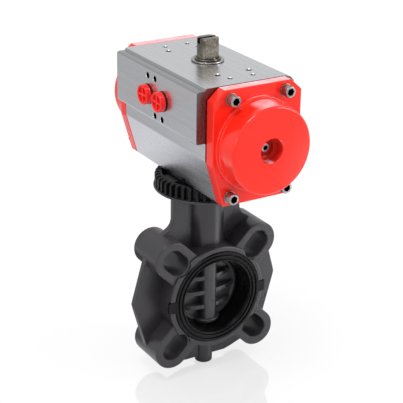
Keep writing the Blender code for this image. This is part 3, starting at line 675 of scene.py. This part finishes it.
def make_actuator_body():
    """Drawn profile with a raised pad for the air ports on the left."""
    left = [(-31.2, BODY_BOTTOM, 1.2), (-42.3, 151.6, 1.5), (-42.3, 166.7, 0.8),
            (PAD_FACE, 166.7, 1.8), (PAD_FACE, 210.6, 2.4), (-43.4, 210.6, 0.8),
            (-41.9, BODY_TOP, 1.0)]
    right = [(33.5, BODY_TOP, 2.0), (38.2, 211.0, 2.0), (41.4, 207.4, 2.0), (42.3, 203.0, 1.0),
             (42.3, 151.6, 1.5), (31.2, BODY_BOTTOM, 1.2)]
    body = plate('profile', rounded(left + right, 5), 'Y', -BODY_END, BODY_END, 0.3, 0.3, 2)
    cut(body, drill(35.0, 'Y', 0.0, CYLINDER_Z, -72.0, 72.0, steps=96))
    cut(body, drill(13.2, 'Z', 0.0, 0.0, 193.0, BODY_TOP, 0.0, 0.5, 56),
        drill(14.6, 'Z', 0.0, 0.0, BODY_BOTTOM, 132.0, 0.5, 0.0, 56))
    for x in (-CAP_SCREW_X, CAP_SCREW_X):
        for z in (-CAP_SCREW_RISE, CAP_SCREW_RISE):
            for low, high in ((-67.4, -53.0), (53.0, 67.4)):
                cut(body, drill(SCREW_HOLE, 'Y', x, CAP_SCREW_MIDDLE + z, low, high, steps=20))
    for y in PORT_YS:
        cut(body, drill(6.6, 'X', y, PORT_Z, PAD_FACE, -44.0, 0.6, 0.0, 40),
            drill(2.55, 'X', y, PORT_Z, -40.0, -22.0, steps=26))
    for y, z in SIDE_HOLES:
        cut(body, drill(2.65, 'X', y, z, PAD_FACE, -46.0, 0.3, 0.0, 28))
    for x, y, r, deep in TOP_HOLES:
        for sx, sy in ((1, 1), (1, -1), (-1, 1), (-1, -1)):
            cut(body, drill(r, 'Z', sx * x, sy * y, BODY_TOP - deep + 3.0, BODY_TOP, 0.0, 0.5, 28))
    for u, v in MOUNTING_HOLES:
        cut(body, drill(SCREW_HOLE, 'Z', u, v, BODY_BOTTOM, 118.6, 0.4, 0.0, 20))

    def in_hole(c):
        if -50.5 < c.x < -44.0:
            if any(math.hypot(c.y - y, c.z - z) < 2.7 for y, z in SIDE_HOLES):
                return True
        return 204.0 < c.z < 212.1 and any(
            math.hypot(abs(c.x) - x, abs(c.y) - y) < r + 0.1 for x, y, r, deep in TOP_HOLES)

    # painted shade: the holes, the two sawn ends and the strip along the top-left ledge are
    # darkened
    paint_shade(body, in_hole)
    paint_shade(body, lambda c: abs(c.y) > 67.2, 0.75)                    # the two sawn ends
    paint_shade(body, lambda c: c.x < -42.2 and c.z > 209.0 and abs(c.y) < 67.2, 0.45)
    fit(body, 'drawn_body', 'body_anodised', 'housing', ['actuator_body'], angle=30.0)


def make_cap(side, end):
    """Cast end cap: eight-sided flange, raised rim, drum with a deep hole in its middle."""
    def round_part(name, section, steps, ring=False):
        profile = [(r, side * y) for r, y in section]
        return turned(name, profile, 'Y', (0.0, CYLINDER_Z), steps, ring)

    half = [(31.3, -49.5), (41.9, -13.6), (41.9, 39.7), (31.4, 49.2)]
    outline = rounded([(u, CYLINDER_Z + v, 1.6) for u, v in both_sides(half)], 5)
    cap = plate('flange', outline, 'Y', side * 67.8, side * 78.2, 0.9, 0.9, 4)
    drum = half_section([(0, 71, 0), (40.2, 71, 0), (40.2, 80.75, 1.1), (38.3, 80.75, 0.3),
                         (37.75, 82.4, 2.2), (37.3, 100.4, 2.1), (0, 100.4, 0)], 6)
    join(cap, round_part('drum', drum, 144))
    chamber = [(14.2, 62), (33.3, 62), (33.3, 94), (31.0, 96.4), (14.2, 96.4)]
    cut(cap, round_part('chamber', chamber, 64, ring=True))
    cut(cap, round_part('core', [(0, 62), (16, 62), (16, 82.5), (0, 82.5)], 48))
    well = half_section([(0, 78, 0), (4.35, 78, 0), (4.35, 87, 0.3), (7.6, 87, 0.5),
                         (7.6, 90.5, 0.4), (10.3, 90.5, 0.6), (10.3, 99.6, 0.5),
                         (12.1, 101.4, 0), (0, 101.4, 0)], 3)
    cut(cap, round_part('well', well, 56))
    groove = [(35.6, 62), (38.4, 62), (38.4, 69.9), (35.6, 69.9)]
    cut(cap, round_part('groove', groove, 72, ring=True))
    low, high = sorted((side * 64.0, side * 78.2))
    mouths = (0.5, 0.0) if side < 0 else (0.0, 0.5)
    for x in (-CAP_SCREW_X, CAP_SCREW_X):
        for z in (-CAP_SCREW_RISE, CAP_SCREW_RISE):
            cut(cap, drill(SCREW_HOLE, 'Y', x, CAP_SCREW_MIDDLE + z, low, high, *mouths, 32))
    # painted shade in the hole in the middle of the drum
    paint_shade(cap, lambda c: math.hypot(c.x, c.z - CYLINDER_Z) < 10.4 and 84.0 < abs(c.y) < 99.7,
              0.3)
    fit(cap, '%s_cap_casting' % end, 'cap_red', 'housing', ['%s_cap' % end], angle=30.0)


def knurled_screw():
    """Socket screw, head front at height 0 and shank pointing down."""
    grip = []
    for k in range(KNURLS):
        for r, off in ((4.78, -0.5), (4.9, -0.16), (4.9, 0.16)):
            a = (k + off) * 2 * math.pi / KNURLS
            grip.append((r * math.cos(a), r * math.sin(a)))
    screw = plate('screw', grip, 'Z', -6.0, -0.6)
    crown = half_section([(0, -2.0, 0), (4.72, -2.0, 0), (4.72, 0.0, 0.6), (0, 0.0, 0)])
    shank = half_section([(0, -33.0, 0), (3.0, -33.0, 0.6), (3.0, -5.0, 0), (0, -5.0, 0)], 2)
    join(screw, turned('crown', crown, 'Z', steps=48), turned('shank', shank, 'Z', steps=32))
    cut(screw, plate('socket', arc(0.0, 0.0, 3.3, 30.0, 330.0, 5), 'Z', -4.4, 2.0))
    cut(screw, drill(2.8, 'Z', 0.0, 0.0, -0.2, 0.0, 0.0, 0.3, 36))
    # painted shade in the socket
    paint_shade(screw, lambda c: math.hypot(c.x, c.y) < 3.35 and -5.0 < c.z < -0.3)
    return screw


def make_cap_fasteners():
    """Four screws with washers in each cap, and the end of a stop screw in its middle."""
    screw = knurled_screw()
    section = rounded([(3.3, -1.0, 0.1), (5.4, -1.0, 0.2), (5.4, 0.0, 0.3), (3.3, 0.0, 0.15)], 2)
    washer = turned('washer', section, 'Z', steps=48, ring=True)
    for side, end in ((-1, 'front'), (1, 'rear')):
        outwards = (-90.0 * side, 0, 0)
        places = [(x, z) for z in (1, -1) for x in (-1, 1)]
        for k, (x, z) in enumerate(places, 1):
            u, w = x * CAP_SCREW_X, CAP_SCREW_MIDDLE + z * CAP_SCREW_RISE
            one = copy_of(screw)
            turn_piece(one, 'Z', 17.0 * k)             # no two sockets stand the same way
            fit(one, '%s_socket_screw_%d' % (end, k), 'stainless', 'housing',
                ['%s_cap_screw_%d' % (end, k)], (u, side * 86.1, w), outwards)
            fit(copy_of(washer), '%s_plain_washer_%d' % (end, k), 'stainless', 'housing',
                ['%s_cap_washer_%d' % (end, k)], (u, side * 79.6, w), outwards)
        pin = half_section([(0, -33.5, 0), (4.0, -33.5, 0.8), (4.0, 0.0, 0.6), (0, 0.0, 0)], 3)
        stop = turned('stop', pin, 'Z', steps=40)
        cut(stop, plate('socket', arc(0.0, 0.0, 2.3, 0.0, 300.0, 5), 'Z', -5.0, 2.0))
        # painted shade in the socket
        paint_shade(stop, lambda c: math.hypot(c.x, c.y) < 2.35 and -6.0 < c.z < -0.3)
        fit(stop, '%s_stop_pin' % end, 'stainless', 'housing', ['%s_stop_screw' % end],
            (0.0, side * 90.2, CYLINDER_Z), outwards)
    bpy.data.objects.remove(screw)
    bpy.data.objects.remove(washer)


def make_pinion():
    """Toothed shaft with a slotted, flatted head and a square socket at its foot."""
    flank = ((10.9, -1.35), (12.0, -1.05), (13.0, -0.72), (14.0, -0.42),
             (14.0, 0.42), (13.0, 0.72), (12.0, 1.05), (10.9, 1.35))
    teeth = []
    for k in range(PINION_TEETH):
        for r, w in flank:
            a = k * 2 * math.pi / PINION_TEETH + w / r
            teeth.append((r * math.cos(a), r * math.sin(a)))
    pinion = plate('pinion', teeth, 'Z', 140.5, 187.0)
    lower = half_section([(0, 114.2, 0), (12, 114.2, 0.6), (12, 129.0, 0.5), (10.6, 130.2, 0.5),
                          (10.6, 141.0, 0), (0, 141, 0)], 3)
    upper = half_section([(0, 186, 0), (10.4, 186, 0), (10.4, 212.0, 0.4), (9.2, 212.5, 0.3),
                          (9.2, 232.6, 0.9), (0, 232.6, 0)], 3)
    join(pinion, turned('lower', lower, 'Z', steps=56), turned('upper', upper, 'Z', steps=72))
    for y in ((-12.0, -6.8), (6.8, 12.0)):
        cut(pinion, block('flat', (-12, 12), y, (216.4, 240.0)))
    cut(pinion, block('slot', (-12, 12), (-2.0, 2.0), (228.1, 240.0)))
    cut(pinion, block('socket', SQUARE, SQUARE, (105.0, 127.0)))
    # painted shade in the slot of the head
    paint_shade(pinion, lambda c: abs(c.y) < 2.05 and 228.0 < c.z < 232.0)
    fit(pinion, 'pinion_shaft', 'nickel', 'rotor', ['pinion'])


def make_shaft_rings():
    """Bright thrust ring on the body and the split clip above it."""
    section = rounded([(9.5, 212.9, 0.15), (14.0, 212.9, 0.3), (14.0, 214.1, 0.4),
                       (9.5, 214.1, 0.2)], 3)
    fit(turned('washer', section, 'Z', steps=80, ring=True), 'polished_thrust_ring', 'stainless',
        'housing', ['thrust_washer'])
    section = rounded([(9.6, 214.4, 0.1), (11.2, 214.4, 0.3), (11.2, 215.6, 0.4),
                       (9.6, 215.6, 0.2)], 3)
    clip = turned('clip', section, 'Z', steps=72, ring=True)
    cut(clip, block('gap', (-1.3, 1.3), (8.0, 12.5), (213.0, 217.0)))
    fit(clip, 'spring_clip', 'nickel', 'rotor', ['shaft_clip'])


def make_port_plugs():
    """Screw plugs with four quarter pockets that leave a cross."""
    section = half_section([(0, -8.0, 0), (6.2, -8.0, 0.6), (6.2, -1.3, 0), (8.5, -1.3, 0.3),
                            (8.5, 0.35, 0.2), (8.2, 0.55, 0.1), (8.2, 0.8, 0.1), (8.5, 1.0, 0.2),
                            (8.5, 3.5, 0.6), (7.5, 3.5, 0.15), (7.2, 3.0, 0.15), (0, 3.0, 0)])
    plug = turned('plug', section, 'Z', steps=64)
    for k in range(4):
        a = math.radians(90.0 * k)
        wedge = rounded([(0.75, 0.75, 0.4), (6.7, 0.75, 0.6), (4.9, 4.9, 3.6), (0.75, 6.7, 0.6)], 5)
        wedge = [(u * math.cos(a) - v * math.sin(a), u * math.sin(a) + v * math.cos(a))
                 for u, v in wedge]
        cut(plug, plate('pocket', wedge, 'Z', 0.9, 6.0, 0.5, 0.0, 3))
    section = rounded([(6.5, 0.0, 0.2), (8.7, 0.0, 0.2), (8.7, 0.6, 0.2), (6.5, 0.6, 0.2)], 3)
    washer = turned('washer', section, 'Z', steps=56, ring=True)
    outwards = (0, -90, 0)
    for k, y in enumerate(reversed(PORT_YS)):
        one = copy_of(plug)
        turn_piece(one, 'Z', 4.0 - 7.0 * k)
        fit(one, 'cross_plug_%d' % (k + 1), 'plug_red', 'housing', ['port_plug_%d' % (k + 1)],
            (-53.1, y, PORT_Z), outwards)
        fit(copy_of(washer), 'rubber_washer_%d' % (k + 1), 'seal_rubber', 'housing',
            ['port_washer_%d' % (k + 1)], (-51.2, y, PORT_Z), outwards)
    bpy.data.objects.remove(plug)
    bpy.data.objects.remove(washer)


def finish_hidden_pieces():
    """The pieces inside keep their shape from the frame and get the same finishes."""
    for row in frame['record']['subparts']:
        ob = frame['nodes'][row['node']]
        for slot in ob.material_slots:
            slot.material = FINISHES[row['material_slot']]


# ---- studio, in metres ---------------------------------------------------------------------
def lamp(name, at, size, watts):
    """Round softbox that looks at the middle of the object."""
    light = bpy.data.lights.new(name, 'AREA')
    light.shape = 'DISK'
    light.size = size
    light.energy = watts
    ob = bpy.data.objects.new(name, light)
    bpy.context.scene.collection.objects.link(ob)
    ob.location = at
    aim = Vector((0.0, 0.0, 0.17))
    ob.rotation_euler = (aim - Vector(at)).to_track_quat('-Z', 'Y').to_euler()


def make_floor():
    """Pale glossy floor.

    What it throws back at the object is a painted pool of light round it, with a painted
    shadow of the object behind it on the left; seen straight on it is even and nearly white.
    """
    put_down()
    bpy.ops.mesh.primitive_circle_add(vertices=96, radius=7.0, fill_type='NGON',
                                      location=(0, 0, 0))
    floor = bpy.context.active_object
    floor.name = 'studio_floor'
    paint = bpy.data.materials.new('floor_paint')
    paint.use_nodes = True
    tree = paint.node_tree
    shader = tree.nodes['Principled BSDF']
    seen = add_node(tree, 'ShaderNodeLightPath').outputs['Is Camera Ray']
    place = add_node(tree, 'ShaderNodeTexCoord')
    reach = add_node(tree, 'ShaderNodeVectorMath', operation='LENGTH')
    tree.links.new(place.outputs['Object'], reach.inputs[0])
    # painted pool of light: the colour seen in reflections is brighter near the object
    pool = widened(tree, reach.outputs['Value'], 0.36, 0.62)
    behind = add_node(tree, 'ShaderNodeVectorMath', operation='DISTANCE')
    behind.inputs[1].default_value = (-0.098, 0.180, 0.0)
    tree.links.new(place.outputs['Object'], behind.inputs[0])
    # painted shadow of the object on the floor behind it on the left
    shade = widened(tree, behind.outputs['Value'], 0.05, 0.17, 'SMOOTHSTEP')
    bounce = colour_mix(tree, pool, (0.94, 0.94, 0.97), (0.50, 0.50, 0.505))
    bounce = colour_mix(tree, shade, (0.04, 0.04, 0.04), bounce)
    colour = colour_mix(tree, seen, bounce, (0.24, 0.24, 0.242))
    tree.links.new(colour, shader.inputs['Base Color'])
    tree.links.new(between(tree, seen, 0.0, 0.64), shader.inputs['Emission Strength'])
    shader.inputs['Emission Color'].default_value = (1.0, 1.0, 1.0, 1.0)
    shader.inputs['Roughness'].default_value = 0.05
    shader.inputs['IOR'].default_value = 1.65
    shader.inputs['Specular IOR Level'].default_value = 0.9
    floor.data.materials.append(paint)


def make_light():
    """An even white room and three softboxes."""
    world = bpy.data.worlds.new('studio_air')
    bpy.context.scene.world = world
    world.use_nodes = True
    tree = world.node_tree
    seen = add_node(tree, 'ShaderNodeLightPath').outputs['Is Camera Ray']
    air = tree.nodes['Background']
    air.inputs['Color'].default_value = (1.0, 1.0, 1.0, 1.0)
    tree.links.new(between(tree, seen, 0.85, 1.0), air.inputs['Strength'])
    lamp('softbox_top', (-0.5, -0.4, 1.6), size=0.55, watts=9.0)
    lamp('softbox_right', (1.5, -1.4, 0.7), size=0.9, watts=16.0)
    lamp('softbox_left', (-1.8, -0.6, 0.7), size=0.7, watts=4.0)
    bpy.context.scene.view_settings.view_transform = 'Standard'


def make_camera():
    """A long lens at the front left, a little above the object."""
    azimuth, height, roll = math.radians(-31.358), math.radians(22.739), math.radians(0.754)
    aim, distance = Vector((-4.26, -0.12, 84.6 + BORE_HEIGHT)), 1111.17
    back = Vector((math.sin(azimuth) * math.cos(height), -math.cos(azimuth) * math.cos(height),
                   math.sin(height)))
    right = (-back).cross(Vector((0, 0, 1))).normalized()
    up = right.cross(-back)
    side = right * math.cos(roll) + up * math.sin(roll)
    over = up * math.cos(roll) - right * math.sin(roll)
    data = bpy.data.cameras.new('camera')
    data.sensor_width = 36.0
    data.lens = 113.103
    data.clip_end = 50.0
    ob = bpy.data.objects.new('camera', data)
    bpy.context.scene.collection.objects.link(ob)
    turn = Matrix((side, over, back)).transposed().to_4x4()
    ob.matrix_world = Matrix.Translation((aim + back * distance) * MM) @ turn
    bpy.context.scene.camera = ob


make_camera()
make_floor()
make_light()
finish_hidden_pieces()
make_valve_body()
make_liner()
make_disc()
make_index_disc()
make_actuator_body()
make_cap(-1, 'front')
make_cap(1, 'rear')
make_cap_fasteners()
make_pinion()
make_shaft_rings()
make_port_plugs()
